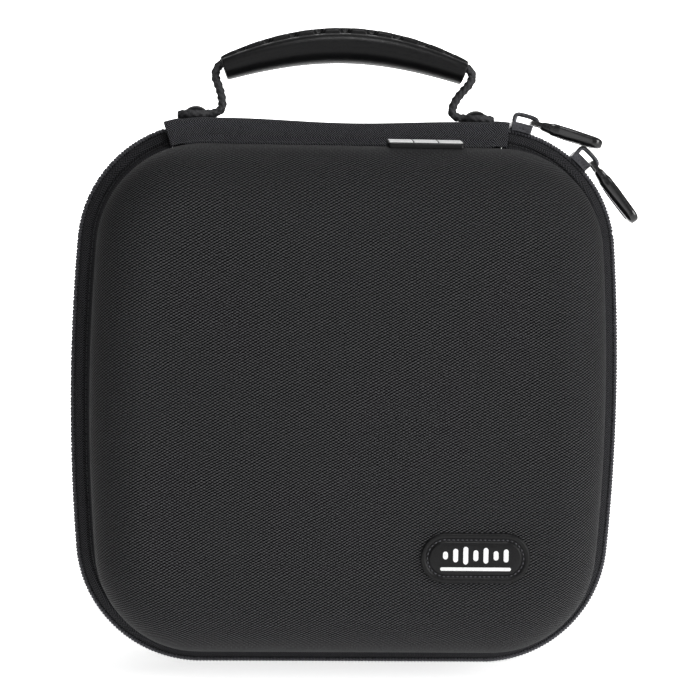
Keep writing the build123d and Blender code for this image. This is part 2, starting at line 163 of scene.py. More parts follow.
# The paper glows with painted light, most behind the case, in a lane that widens to the
# back and fades at its sides.
paper_place = add(paper, "ShaderNodeSeparateXYZ", {0: add(paper, "ShaderNodeTexCoord").outputs["Object"]})
paper_near = add(paper, "ShaderNodeMapRange",
                 {"Value": paper_place.outputs[1], 1: -0.45, 2: -0.22, 3: 0.0, 4: 0.75})
paper_far = add(paper, "ShaderNodeMapRange",
                {"Value": paper_place.outputs[1], 1: 0.15, 2: 0.8, 3: 0.0, 4: 0.65})
paper_glow = add(paper, "ShaderNodeMath", {0: paper_near, 1: paper_far}, operation="ADD")
paper_side = add(paper, "ShaderNodeMath", {0: paper_place.outputs[0]}, operation="ABSOLUTE")
paper_reach = add(paper, "ShaderNodeMath",
                  {0: paper_place.outputs[1], 1: -0.25, 2: paper_side}, operation="MULTIPLY_ADD")
paper_lane = add(paper, "ShaderNodeMapRange", {"Value": paper_reach, 1: 0.2, 2: 0.36, 3: 1.0, 4: 0.0})
paper_light = add(paper, "ShaderNodeMath", {0: paper_glow, 1: paper_lane}, operation="MULTIPLY")
paper.links.new(paper_light.outputs[0], paper.nodes["Principled BSDF"].inputs["Emission Strength"])
floor.data.materials.append(sweep_paper)

world = bpy.data.worlds.new("studio")
bpy.context.scene.world = world
world.use_nodes = True
world.node_tree.nodes["Background"].inputs["Color"].default_value = (1, 1, 1, 1)
world.node_tree.nodes["Background"].inputs["Strength"].default_value = 0.2

# Each lamp's place and size are in metres and its power is in watts.
for name, place, size, power in (
        ("key from the right", (1.3, -0.85, 0.5), 0.9, 17),
        ("fill from the front", (-0.3, -1.6, 0.4), 0.9, 3),
        ("top", (0.1, -0.6, 1.2), 0.35, 5)):
    lamp = bpy.data.lights.new(name, "AREA")
    lamp.size = size
    lamp.energy = power
    light = bpy.data.objects.new(name, lamp)
    light.location = place
    light.rotation_euler = (target - Vector(place)).to_track_quat("-Z", "Y").to_euler()
    bpy.context.scene.collection.objects.link(light)


# --- The two moulded shells ---
# Closed-cell EVA foam pressed hot between a cover and a lining in a heated mould. Only its cut rim
# would show, so the frame's own solids stay, with a dull grain.
eva_foam = grained("EVA foam", "#161617", "#222224", 0.6 * mm, 0.1 * mm, (0.8, 0.95))


def dressed(look, *nodes):
    """Gives solids of the frame a material in place of their plain one."""
    for node in nodes:
        frame["nodes"][node].data.materials.clear()
        frame["nodes"][node].data.materials.append(look)


dressed(eva_foam, "back_shell", "front_shell")


# --- The covers ---
# Ballistic nylon, a plain weave of thick dull yarns, bonded to the foam and drawn over the mould.
# The weave stays square on the flat face and runs straight down each wall.
half_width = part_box("back_zipper_coil")[1][0]
webbing_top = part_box("hinge_strip_back")[1][2]
webbing_thickness = 1.6 * mm
middle = (webbing_top - webbing_thickness) / 2
rim_depth = 10 * mm
rim_inset = 8.8 * mm
half_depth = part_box("back_cover")[1][1]
face_fillet = 22 * mm
wall_draft = math.radians(3)
cover_thickness = 0.8 * mm
corner_radius = 51 * mm
bow_radius = 770 * mm
bow_angle = math.asin((middle - corner_radius) / (bow_radius - corner_radius))
corner_x = half_width - bow_radius + (bow_radius - corner_radius) * math.cos(bow_angle)
corner_end = corner_x + corner_radius * (math.pi / 2 - bow_angle)
quarter = corner_end + bow_radius * bow_angle


def outline(distance):
    """Points on the zipper's outline, at a distance clockwise from the top middle, and the outward
    directions there: a straight top, a round corner and a bowed side, mirrored both ways."""
    turn = np.mod(distance, 4 * quarter)
    right = np.where(turn < 2 * quarter, 1, -1)
    down = np.where(right > 0, turn, 4 * quarter - turn)
    up = np.where(down > quarter, -1, 1)
    along = np.where(up > 0, down, 2 * quarter - down)
    bend = np.clip((along - corner_x) / corner_radius, 0, math.pi / 2 - bow_angle)
    angle = bend + np.clip((along - corner_end) / bow_radius, 0, bow_angle)
    x = (np.minimum(along, corner_x) + corner_radius * np.sin(bend)
         + bow_radius * (np.sin(angle) - np.sin(bend)))
    z = (middle - corner_radius + corner_radius * np.cos(bend)
         + bow_radius * (np.cos(angle) - np.cos(bend)))
    return np.stack([right * x, up * z], -1), np.stack([right * np.sin(angle), up * np.cos(angle)], -1)


def carried(distance, depth, inset):
    """A profile of depths and insets carried along the outline, as a grid of points."""
    place, outward = outline(np.asarray(distance))
    flat = place[:, None, :] - np.asarray(inset)[..., None] * outward[:, None, :]
    depth = np.broadcast_to(depth, flat.shape[:2])
    return np.stack([flat[..., 0], depth, middle + flat[..., 1]], -1)


def lengths(*coordinates):
    """The distance along a line of points, from its start."""
    steps = np.sqrt(sum(np.diff(c) ** 2 for c in coordinates))
    return np.concatenate([[0], np.cumsum(steps)])


def surface(name, grid, chart, around=False, across=False, flip=False):
    """A mesh over a grid of points, closed along its rows or columns, with a chart of UVs. The
    chart has one more row or column than the grid has where the grid is closed."""
    rows, columns = grid.shape[:2]
    u, v = np.meshgrid(np.arange(rows - (not around)), np.arange(columns - (not across)), indexing="ij")
    u, v = u.ravel(), v.ravel()
    steps = ((0, 0), (0, 1), (1, 1), (1, 0)) if flip else ((0, 0), (1, 0), (1, 1), (0, 1))
    faces = np.stack([(u + i) % rows * columns + (v + j) % columns for i, j in steps], 1)
    corners = np.stack([chart[u + i, v + j] for i, j in steps], 1)
    return mesh_object(name, grid, faces, corners)


def finished(piece, look, nodes=(), body=None):
    """Gives a piece its material, the CAD nodes that it stands for, and its body."""
    piece.data.materials.append(look)
    if nodes:
        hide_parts(*nodes)
    if body:
        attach(piece, body)
    return piece


def walled(piece, thickness, offset=-1.0):
    """Gives an open surface a wall, inwards unless offset says otherwise."""
    wall = piece.modifiers.new("wall", "SOLIDIFY")
    wall.thickness = thickness
    wall.offset = offset
    wall.use_even_offset = True
    return piece


round_trip = np.linspace(0, 4 * quarter, 401)


def bowl_profile(offset):
    """Depths and insets of one half's wall, from the rim over the edge to the flat face: a rounded
    lip, a drafted wall and a quarter turn, all moved in by offset."""
    depth, radius = half_depth - offset, face_fillet - offset
    foot = depth - radius + radius * math.sin(wall_draft)
    lip_radius = 0.9 * mm
    lip_turn = np.linspace(-0.9, 0, 5)
    lip_depth = rim_depth + lip_radius * (1 + np.sin(lip_turn * math.pi / 2))
    lip_inset = rim_inset + offset + lip_radius * (1 - np.cos(lip_turn * math.pi / 2))
    wall_depth = np.linspace(lip_depth[-1], foot, 14)[1:]
    wall_inset = rim_inset + offset + (wall_depth - rim_depth) * math.tan(wall_draft)
    turn = np.linspace(wall_draft - math.pi / 2, 0, 24)[1:]
    edge_depth = depth - radius + radius * np.cos(turn)
    edge_inset = wall_inset[-1] + radius * math.cos(wall_draft) + radius * np.sin(turn)
    return (np.concatenate([lip_depth, wall_depth, edge_depth]),
            np.concatenate([lip_inset, wall_inset, edge_inset]))


def bowl(name, side, offset, crown):
    """One half's skin: its wall carried round the outline, then rings that shrink to the middle of
    a face that swells by crown and ripples a little. The chart is the face's own plane, unrolled
    down the walls."""
    depth, inset = bowl_profile(offset)
    run = lengths(depth, inset)
    wall = carried(round_trip, side * depth, inset)
    wall_chart = carried(round_trip, 0, inset[-1] - (run[-1] - run))
    edge = wall[:, -1]
    share = np.linspace(1, 0, 26)[1:, None]
    centre = np.array([0, 0, middle])
    rings = centre + share * (edge[:, None] - centre)
    rings[..., 1] = side * (half_depth - offset + crown * (1 - share[:, 0] ** 2) ** 2)
    ripple = np.sin(rings[..., 0] / (17 * mm) + 1) * np.sin(rings[..., 2] / (23 * mm))
    ripple_height = 0.12 * mm
    rings[..., 1] += side * ripple_height * ripple * (1 - share[:, 0] ** 2)
    grid = np.concatenate([wall, rings], 1)
    chart = np.concatenate([wall_chart, rings], 1)[..., [0, 2]]
    return surface(name, grid[:-1], chart, around=True, flip=side < 0)


def woven(name, yarn_and_glint, gap_shade, pitch, depth, roughness):
    """A plain weave seen by the rows that its floats make: two families of slanting ribs, of which
    the one that rises to the right is the stronger, so each float is a dash in a diagonal row. The
    pitch is half the repeat, across and down. Its colour follows the height: painted highlight on
    each float's crown and painted shade between the floats."""
    made, tree, shader = material(name, yarn_and_glint, roughness, Specular_IOR_Level=0.07)
    chart = add(tree, "ShaderNodeTexCoord").outputs["UV"]
    wobble = add(tree, "ShaderNodeTexNoise", {"Vector": chart, "Scale": 1 / (9 * mm), "Detail": 2.0})
    shift = add(tree, "ShaderNodeVectorMath",
                {0: wobble.outputs["Color"], 1: (0.9 * mm, 0.9 * mm, 0)}, operation="MULTIPLY")
    moved = add(tree, "ShaderNodeVectorMath", {0: chart, 1: shift}, operation="ADD")
    counts = (math.pi / pitch[0], math.pi / pitch[1], 0)
    threads = add(tree, "ShaderNodeVectorMath", {0: moved, 1: counts}, operation="MULTIPLY")
    phases = add(tree, "ShaderNodeSeparateXYZ", {0: threads})
    ribs = []
    for operation in ("SUBTRACT", "ADD"):
        phase = add(tree, "ShaderNodeMath", {0: phases.outputs[0], 1: phases.outputs[1]}, operation=operation)
        ribs.append(add(tree, "ShaderNodeMath", {0: phase}, operation="COSINE"))
    floats = add(tree, "ShaderNodeMath", {0: ribs[1], 1: -0.6, 2: ribs[0]}, operation="MULTIPLY_ADD")
    fibres = add(tree, "ShaderNodeTexNoise", {"Vector": chart, "Scale": 1 / (0.5 * mm), "Detail": 1.0})
    height = add(tree, "ShaderNodeMath", {0: fibres, 1: 3.0, 2: floats}, operation="MULTIPLY_ADD")
    # Painted light: the crowns get the light colour as a highlight, the hollows the black as shade.
    shade = add(tree, "ShaderNodeMapRange", {"Value": height, 1: 0.9, 2: 3.1})
    shaded(tree, shader, shade, gap_shade, yarn_and_glint, height, depth)
    return made


# 1680 denier nylon. Its repeat of 2 by 1.1 mm is drawn coarser than the cloth's own, so that each
# float still shows as a dull dash.
# The dashes are painted highlight on the crowns; the black between them is painted shade.
ballistic_nylon = woven("ballistic nylon", "#525254", "#000000", pitch=(1.0 * mm, 0.56 * mm),
                        depth=0.16 * mm, roughness=0.6)
for half, side, body in (("back", 1, "back_half"), ("front", -1, "lid")):
    cover = bowl(f"{half}_cover_skin", side, 0, 1.2 * mm)
    walled(cover, cover_thickness)
    finished(cover, ballistic_nylon, [f"{half}_cover"], body)


# --- The linings ---
# A brushed knit, laminated to the inside of the foam: soft, matte, with a short nap that catches
# light at the edges.
lining_inset = 5.0 * mm
lining_thickness = 0.8 * mm
brushed_knit = grained("brushed knit", "#1a1a1d", "#38383c", 1.2 * mm, 0.3 * mm, (0.9, 1.0), "UV",
                       Sheen_Weight=0.3)
for half, side, body in (("back", 1, "back_half"), ("front", -1, "lid")):
    lining = bowl(f"{half}_lining_skin", side, lining_inset, 0)
    walled(lining, lining_thickness)
    finished(lining, brushed_knit, [f"{half}_lining"], body)


# --- The bindings ---
# A folded bias tape over each raw rim, turned down the lining and sewn through with one row of
# lock stitches.
inner_inset = rim_inset + lining_inset + lining_thickness


def rounded(points):
    """A closed outline with its corners cut twice, a quarter of the way along each side, which
    makes them round."""
    points = np.asarray(points, float)
    for _ in range(2):
        after = np.roll(points, -1, 0)
        points = np.stack([0.75 * points + 0.25 * after, 0.25 * points + 0.75 * after], 1).reshape(-1, 2)
    return points


def pairs(rows, columns):
    """Every pair of a row's value and a column's value, as a grid."""
    return np.stack(np.meshgrid(rows, columns, indexing="ij"), -1)


def hoop(name, depth, inset, flip):
    """A closed profile carried all round the outline. The chart runs along and across it."""
    grid = carried(round_trip, depth, inset)[:-1]
    run = lengths(np.append(depth, depth[0]), np.append(inset, inset[0]))
    return surface(name, grid, pairs(round_trip, run), around=True, across=True, flip=flip)


def unit(vectors):
    """Vectors with their length made one."""
    return vectors / np.linalg.norm(vectors, axis=-1, keepdims=True)


def stitches(name, centres, along, length, thickness):
    """A row of threads, each an ellipsoid about its centre, long in its own direction."""
    along = unit(along)
    side = unit(np.cross(along, (0.31, 0.52, 0.79)))
    up = np.cross(side, along)
    rings, sides = 5, 6
    turns = pairs(np.linspace(0, math.pi, rings), np.linspace(0, 2 * math.pi, sides + 1)[:-1])
    polar, turn = turns.reshape(1, -1, 2, 1)[:, :, 0], turns.reshape(1, -1, 2, 1)[:, :, 1]
    ring = np.cos(turn) * side[:, None] + np.sin(turn) * up[:, None]
    points = centres[:, None] + length / 2 * np.cos(polar) * along[:, None] \
        + thickness / 2 * np.sin(polar) * ring
    i, j = np.meshgrid(np.arange(rings - 1), np.arange(sides), indexing="ij")
    beside = (j + 1) % sides
    quad = np.stack([i * sides + j, i * sides + beside, (i + 1) * sides + beside, (i + 1) * sides + j], -1)
    faces = quad.reshape(1, -1, 4) + rings * sides * np.arange(len(centres))[:, None, None]
    return mesh_object(name, points, faces)


def stitch_row(name, distance, depth, inset, length, thickness):
    """A row of stitches along the outline, at one depth and inset."""
    centres = carried(distance, depth, np.array([inset]))[:, 0]
    ahead = carried(distance + 0.5 * mm, depth, np.array([inset]))[:, 0]
    return stitches(name, centres, ahead - centres, length, thickness)


def ribbed(name, yarn_and_glint, gap_shade, pitch, band, depth, roughness):
    """A twill that turns back on itself: fine slanting ribs whose slant flips at every band. A band
    wider than the piece gives a plain twill. Its colour follows the height: painted highlight on the
    rib crowns and painted shade in the grooves."""
    made, tree, shader = material(name, yarn_and_glint, roughness, Specular_IOR_Level=0.07)
    chart = add(tree, "ShaderNodeSeparateXYZ", {0: add(tree, "ShaderNodeTexCoord").outputs["UV"]})
    slant = add(tree, "ShaderNodeMath", {0: chart.outputs[1], 1: band}, operation="PINGPONG")
    phase = add(tree, "ShaderNodeMath", {0: chart.outputs[0], 1: slant}, operation="ADD")
    turns = add(tree, "ShaderNodeMath", {0: phase, 1: 2 * math.pi / pitch}, operation="MULTIPLY")
    ribs = add(tree, "ShaderNodeMath", {0: turns}, operation="SINE")
    place = add(tree, "ShaderNodeTexCoord").outputs["Object"]
    fibres = add(tree, "ShaderNodeTexNoise", {"Vector": place, "Scale": 1 / (0.5 * mm)})
    height = add(tree, "ShaderNodeMath", {0: fibres, 1: 2.0, 2: ribs}, operation="MULTIPLY_ADD")
    # Painted light: the rib crowns get the light colour as a highlight, the grooves the dark as shade.
    shade = add(tree, "ShaderNodeMapRange", {"Value": height, 1: 0.3, 2: 2.0})
    shaded(tree, shader, shade, gap_shade, yarn_and_glint, height, depth)
    return made


# Light rib crowns here are painted highlight, and dark grooves painted shade.
bias_tape = ribbed("bias tape", "#29292c", "#0d0d0e", pitch=0.9 * mm, band=400 * mm, depth=0.08 * mm,
                   roughness=0.8)
sewing_thread = grained("bonded nylon thread", "#1c1c1e", "#38383b", 0.3 * mm, 0.05 * mm, (0.5, 0.7))
lip_edge, skirt_end = rim_inset + 2.4 * mm, rim_depth + 7 * mm
binding_outline = rounded([
    (rim_depth - 1.0 * mm, lip_edge), (rim_depth - 1.3 * mm, inner_inset),
    (rim_depth - 0.6 * mm, inner_inset + 1.4 * mm), (rim_depth + 3.5 * mm, inner_inset + 1.5 * mm),
    (skirt_end, inner_inset + 1.5 * mm), (skirt_end, inner_inset + 0.3 * mm),
    (rim_depth + 0.2 * mm, inner_inset - 0.1 * mm), (rim_depth, lip_edge)])
for half, side, body in (("back", 1, "back_half"), ("front", -1, "lid")):
    binding = hoop(f"{half}_rim_binding", side * binding_outline[:, 0], binding_outline[:, 1], flip=side > 0)
    finished(binding, bias_tape, [f"{half}_binding"], body)
    row = stitch_row(f"{half}_binding_stitches", np.arange(0, 4 * quarter, 3.4 * mm),
                     side * (skirt_end - 2.2 * mm), inner_inset + 1.6 * mm,
                     length=2.6 * mm, thickness=0.5 * mm)
    finished(row, sewing_thread, body=body)


# --- The zipper: tapes and coils ---
# A size 8 nylon coil zip that runs from one end of the webbing round to the other. The coil is one
# filament wound flat. Its tape folds over it with a corded edge, and slopes down to the rim with a
# sewn groove on the way.
strip_left, strip_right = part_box("hinge_strip_back")[0][0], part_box("hinge_strip_back")[1][0]
zip_start = corner_x + corner_radius * math.asin((strip_right - corner_x) / corner_radius)
zip_end = 4 * quarter - corner_x - corner_radius * math.asin((-strip_left - corner_x) / corner_radius)
coil_pitch = 2.05 * mm
coil_width = 3 * mm
held_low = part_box("front_zipper_coil_in_sliders")[0][2]
held_turn = math.acos((held_low - (2 * middle - corner_radius)) / (corner_radius - coil_width))
held_end = corner_x + corner_radius * held_turn
# Light rib crowns here are painted highlight, and near black grooves painted shade.
zipper_tape = ribbed("zipper tape", "#444447", "#040404", pitch=1.0 * mm, band=1.3 * mm,
                     depth=0.14 * mm, roughness=0.75)
edge_cord = grained("edge cord", "#26262a", "#505055", 0.6 * mm, 0.1 * mm, (0.6, 0.8))
coil_nylon = grained("nylon monofilament", "#161617", "#2c2c2e", 1.0 * mm, 0.02 * mm, (0.3, 0.45))
# Depths and insets over the tape, from the coil over the corded edge and the groove to the rim.
tape_profile = np.array([(2.0, 2.0), (2.3, 0.9), (2.9, 0.6), (3.2, 1.0), (3.2, 1.9), (3.1, 2.2),
                         (3.7, 2.5), (4.4, 3.2), (5.2, 4.2), (5.7, 5.3), (5.5, 5.9), (5.1, 6.3),
                         (5.2, 6.9), (6.4, 7.6), (8.4, 8.2), (9.9, 9.6)]) * mm
tape_thickness = 0.7 * mm


def open_hoop(name, profile, side, distance):
    """An open profile carried along part of the outline. The chart runs along and across it."""
    fine = np.linspace(0, len(profile) - 1, 4 * len(profile))
    depth, inset = (np.interp(fine, np.arange(len(profile)), profile[:, k]) for k in (0, 1))
    chart = pairs(distance, lengths(depth, inset))
    return surface(name, carried(distance, side * depth, inset), chart, flip=side < 0)


def coil(name, side, start, end):
    """A flattened helix along the zip: each turn goes out to the crest, back and under. It is a
    tube about that helix, worked out from the helix's own direction."""
    steps_a_turn, filament_radius = 11, 0.44 * mm
    coil_turns = int((end - start) / coil_pitch)
    turn = np.linspace(0, 2 * math.pi * coil_turns, steps_a_turn * coil_turns + 1)
    distance = start + turn / (2 * math.pi) * (end - start) / coil_turns
    depth = side * (1.42 * mm + 0.74 * mm * np.cos(turn))
    inset = 1.55 * mm - 1.1 * mm * np.sin(turn)
    place, outward = outline(distance)
    flat = place - inset[:, None] * outward
    path = np.stack([flat[:, 0], depth, middle + flat[:, 1]], -1)
    along = unit(np.gradient(path, axis=0))
    lead = np.stack([-outward[:, 1], np.zeros(len(turn)), outward[:, 0]], -1)
    first = unit(np.cross(along, lead))
    second = np.cross(along, first)
    angle = np.linspace(0, 2 * math.pi, 7)
    ring = np.cos(angle)[None, :, None] * first[:, None] + np.sin(angle)[None, :, None] * second[:, None]
    grid = path[:, None] + filament_radius * ring
    grid[[0, -1]] = path[[0, -1], None]
    return surface(name, grid[:, :-1], pairs(distance, angle * filament_radius), across=True)


# The stretch of the front row that the two sliders hold stays with them when the lid opens.
for half, side, body, start, end, share in (
        ("back", 1, "back_half", zip_start, zip_end, ""),
        ("front", -1, "lid", held_end, zip_end, ""),
        ("front", -1, "back_half", zip_start, held_end, "_in_sliders")):
    tape = walled(open_hoop(f"{half}_tape_cloth{share}", tape_profile, side,
                            np.linspace(start, end, int((end - start) / (1.7 * mm)))), tape_thickness)
    finished(tape, zipper_tape, [f"{half}_zipper_tape{share}"], body)
    teeth = coil(f"{half}_coil_teeth{share}", side, start, end)
    finished(teeth, coil_nylon, [f"{half}_zipper_coil{share}"], body)
    sewn = stitch_row(f"{half}_tape_stitches{share}", np.arange(start + 2 * mm, end - mm, 1.5 * mm),
                      side * 5.4 * mm, 6.6 * mm, length=1.17 * mm, thickness=0.5 * mm)
    finished(sewn, sewing_thread, body=body)
    # The corded edge is a row of slanting lumps, each one turn of its cord.
    lumps = np.arange(start + 0.7 * mm, end - 0.7 * mm, 1.35 * mm)
    crest = carried(lumps, side * 3.0 * mm, np.array([1.0 * mm]))[:, 0]
    slant = carried(lumps + 0.9 * mm, side * 3.3 * mm, np.array([1.9 * mm]))[:, 0] - crest
    cording = stitches(f"{half}_edge_cording{share}", crest, slant, length=2.3 * mm, thickness=1.3 * mm)
    finished(cording, edge_cord, body=body)


# --- The webbing over the hinge ---
# Heavy herringbone webbing, folded under at both ends and sewn down each side of the spine.
# Light rib crowns here are painted highlight, and near black grooves painted shade.
webbing_cloth = ribbed("herringbone webbing", "#58585c", "#030303", pitch=1.0 * mm, band=2.9 * mm,
                       depth=0.16 * mm, roughness=0.8)
fold_length, fold_height = 6.5 * mm, 0.55 * mm
sag_height, sag_reach = 1.3 * mm, 48 * mm
# Insets and depths over half of its width, from the hinge line to the sewn edge.
webbing_inset, webbing_depth = np.array([
    (-1.6, 0), (-1.62, 6.0), (-1.5, 7.6), (-1.0, 8.4), (0.4, 8.9), (4.0, 9.6), (7.4, 10.2),
    (8.6, 10.6)]).T * mm
across = np.concatenate([-webbing_depth[::-1], webbing_depth[1:]])
down = np.concatenate([webbing_inset[::-1], webbing_inset[1:]])
fine = np.linspace(0, len(across) - 1, 96)
across, down = (np.interp(fine, np.arange(len(across)), c) for c in (across, down))
strip_start = -(corner_x + corner_radius * math.asin((-strip_left - corner_x) / corner_radius))
strip_run = np.linspace(strip_start, zip_start, 180)
fold_ends = np.minimum(strip_run - strip_start, zip_start - strip_run)
fold_rise = fold_height / (1 + np.exp((fold_ends - fold_length) / (0.25 * mm)))
strip_grid = carried(strip_run, across, down[None, :] - fold_rise[:, None])
sag = sag_height * np.cos(np.clip(strip_run / sag_reach, -1, 1) * math.pi / 2) ** 2
strip_grid[..., 2] -= sag[:, None] * np.clip(1 - (down + webbing_thickness) / (7 * mm), 0, 1)
webbing = surface("spine_webbing", strip_grid, pairs(strip_run, lengths(across, down)))
walled(webbing, 1.3 * mm)
finished(webbing, webbing_cloth, ["hinge_strip_front", "hinge_strip_back"])
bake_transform(webbing)
for half, side, body in (("back", 1, "back_half"), ("front", -1, "lid")):
    sewn = stitch_row(f"{half}_webbing_stitches", np.arange(strip_start + 2 * mm, zip_start - mm, 3 * mm),
                      side * 10.4 * mm, 7.9 * mm, length=2.3 * mm, thickness=0.5 * mm)
    finished(sewn, sewing_thread, body=body)

lining_low, lining_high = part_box("spine_lining_back")
spine_x = np.linspace(lining_low[0], lining_high[0], 60)
spine_y = np.linspace(-lining_high[1], lining_high[1], 40)
spine_grid = pairs(spine_x, spine_y)
spine_points = np.concatenate([spine_grid, np.full_like(spine_grid[..., :1], lining_low[2])], -1)
spine_cloth = surface("spine_lining_cloth", spine_points, spine_grid, flip=True)
walled(spine_cloth, lining_high[2] - lining_low[2])
finished(spine_cloth, brushed_knit, ["spine_lining_back", "spine_lining_front"])
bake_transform(spine_cloth)


# --- The handle's rivets and rope ---
# A braided polyester cord with a sewn eye at each end. A black domed rivet goes through each eye
# and the webbing, with a washer inside.
rivet_metal = grained("black nickel", "#141415", "#1e1e20", 1.5 * mm, 0.01 * mm, (0.45, 0.6), Metallic=1.0)
dressed(rivet_metal, "handle_rivets", "rivet_washers")

rope_depth = 5.0 * mm
rope_radius = 1.8 * mm
line_step = 0.4 * mm
# The rope's line as x and height, from the left eye through the grip to the right eye.
rope_route = np.array([
    (-58.0, 222.0), (-50.9, 222.0), (-51.3, 230.2), (-55.0, 238.8), (-49.6, 244.2), (-30.0, 249.6),
    (-2.0, 252.4), (26.0, 249.6), (45.6, 244.4), (51.6, 238.6), (42.6, 229.2), (41.4, 222.0),
    (48.0, 222.0)]) * mm


def spaced(points, count):
    """A line with its points moved to lie evenly along it."""
    run = lengths(*points.T)
    even = np.linspace(0, run[-1], count)
    return np.stack([np.interp(even, run, points[:, k]) for k in range(points.shape[1])], -1)


def spline_path(name, route):
    """Points along the smooth NURBS line that a route of control points gives, evenly spaced."""
    curve = bpy.data.curves.new(name, "CURVE")
    curve.dimensions = "3D"
    spline = curve.splines.new("NURBS")
    spline.points.add(len(route) - 1)
    spline.points.foreach_set("co", np.column_stack([route, np.ones(len(route))]).ravel())
    spline.order_u = 3
    spline.use_endpoint_u = True
    spline.resolution_u = 24
    line = bpy.data.objects.new(name, curve)
    bpy.context.scene.collection.objects.link(line)
    bpy.context.view_layer.update()
    mesh = bpy.data.meshes.new_from_object(line)
    points = np.array([v.co for v in mesh.vertices])
    bpy.data.objects.remove(line)
    return spaced(points, int(lengths(*points.T)[-1] / line_step))


def tube(name, path, flat, reach, closed=False):
    """A tube along a line in a plane whose normal is flat. Its reach is given at each point of the
    line, for directions evenly spaced round it."""
    along = np.gradient(np.concatenate([path[-2:], path, path[:2]]) if closed else path, axis=0)
    along = unit(along[2:-2] if closed else along)
    side = np.cross(along, flat)
    angle = np.linspace(0, 2 * math.pi, reach.shape[1])
    ring = np.cos(angle)[None, :, None] * side[:, None] + np.sin(angle)[None, :, None] * np.array(flat)
    grid = path[:, None] + reach[..., None] * ring
    run = lengths(*path.T)
    rows = np.append(run, run[-1] + line_step) if closed else run
    if not closed:
        grid[[0, -1]] = path[[0, -1], None]
    return surface(name, grid[:, :-1], pairs(rows, angle * reach.mean()), around=closed, across=True)


def braid(name, path, flat, radius, closed=False):
    """A braided cord. Its strands cross in pillows: the radius swells by the product of two waves
    that wind opposite ways."""
    angle = np.linspace(0, 2 * math.pi, 29)
    run = lengths(*path.T)
    total = run[-1] + np.linalg.norm(path[0] - path[-1])
    lay = 2.6 * mm
    if closed:
        lay = total / round(total / lay)
    wind = math.pi * run / lay
    pillow = np.abs(np.sin(2 * angle[None] + wind[:, None]) * np.sin(2 * angle[None] - wind[:, None]))
    return tube(name, path, flat, radius * (0.72 + 0.31 * np.sqrt(pillow)), closed)


polyester = grained("braided polyester", "#0a0a0b", "#3c3c3f", 0.4 * mm, 0.15 * mm, (0.6, 0.8))
route = np.column_stack([rope_route[:, 0], np.full(len(rope_route), rope_depth), rope_route[:, 1]])
rope = braid("handle_rope_braid", spline_path("rope_line", route), (0, 1, 0), rope_radius)
finished(rope, polyester, ["handle_rope"], "handle")
eye_radius, eye_half_length, eye_half_width = 1.9 * mm, 4.75 * mm, 3.1 * mm
for end, outward_x, near in (("left", -1, 0), ("right", 1, -1)):
    rivet_x = route[near, 0] + outward_x * 3.6 * mm
    turn = np.linspace(0, 2 * math.pi, 73)[:-1]
    eye = np.stack([rivet_x + outward_x * 1.15 * mm + eye_half_length * np.cos(turn),
                    rope_depth + eye_half_width * np.sin(turn),
                    webbing_top + eye_radius - 0.4 * mm * (1 + outward_x * np.cos(turn)) ** 2 / 4], -1)
    eye_rope = braid(f"rope_eye_{end}", eye, (0, 0, 1), eye_radius, closed=True)
    finished(eye_rope, polyester, [f"rope_loop_{end}"], "back_half")


# --- The handle's grip ---
# Soft thermoplastic rubber moulded over the cord in one shot: a rail along the top with nine
# recesses in each of its sides, a shoulder below it, and a parting line round the middle.
grip_low, grip_high = (np.array(corner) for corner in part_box("handle_grip"))
grip_middle_x, grip_half = (grip_low[0] + grip_high[0]) / 2, (grip_high[0] - grip_low[0]) / 2
grip_depth = (grip_high[1] - grip_low[1]) / 2
grip_rows = 260
notch_pitch, notch_half_width, notch_depth = 10.03 * mm, 1.75 * mm, 2.2 * mm
crease_depth, parting_depth = 0.9 * mm, 0.22 * mm
soft_rubber = grained("soft moulded rubber", "#0a0a0b", "#121213", 0.7 * mm, 0.05 * mm, (0.32, 0.46),
                      Specular_IOR_Level=0.22)


def superellipse(angle, width, height, power):
    """The reach of a rounded rectangle from its middle, in each direction."""
    level, upright = np.abs(np.cos(angle)) / width, np.abs(np.sin(angle)) / height
    return (level ** power + upright ** power) ** (-1 / power)


cap = np.linspace(0, 1, 9)
inside = np.concatenate([[-0.94, -0.98], -1 + 0.012 * (1 - np.cos(cap * math.pi / 2))])
station = np.concatenate([inside, np.linspace(inside[-1], -inside[-1], grip_rows)[1:-1], -inside[::-1]])
full = np.concatenate([[0.3, 0.3], 0.86 + 0.14 * np.sin(cap * math.pi / 2)])
fullness = np.concatenate([full, np.ones(grip_rows - 2), full[::-1]])
angle = np.linspace(0, 2 * math.pi, 121)
arch = 1 - station ** 2
body_half_height = (4.4 * mm + 1.7 * mm * arch)[:, None]
body_half_depth = (grip_depth * (0.82 + 0.16 * arch))[:, None]
rail_half_depth = (4.2 * mm + 0.9 * mm * arch)[:, None]
rail_rise = (0.6 * mm + 1.3 * mm * np.sqrt(arch))[:, None]
lift = np.sin(angle)[None] > 0
shell_reach = superellipse(angle[None], body_half_depth, body_half_height, np.where(lift, 3.0, 2.2))
rail_reach = superellipse(angle[None], rail_half_depth, body_half_height + rail_rise, 5.0) * lift
notch_x = (station * grip_half)[:, None] / notch_pitch
from_notch = (notch_x - np.round(notch_x)) * notch_pitch / notch_half_width
notch = np.exp(-from_notch ** 4) * (np.abs(notch_x) < 4.4)
over_rail = np.clip((rail_reach - shell_reach) / (0.6 * mm), 0, 1)
crease = np.exp(-((rail_reach - shell_reach) / (0.5 * mm)) ** 2) * lift
reach = np.maximum(shell_reach, rail_reach)
side_of_rail = np.clip((0.985 - np.sin(angle)[None]) / 0.02, 0, 1)
reach = reach - notch_depth * notch * over_rail * side_of_rail
reach = reach - crease_depth * crease
reach = reach - parting_depth * np.exp(-(np.sin(angle)[None] * body_half_height / (0.3 * mm)) ** 2)
reach = reach * fullness[:, None]
centre_z = webbing_top + (19.9 * mm + 8.4 * mm * arch + 1.0 * mm * arch ** 2)
tilt = np.arctan2(np.gradient(centre_z), np.gradient(station * grip_half) + 1e-12)
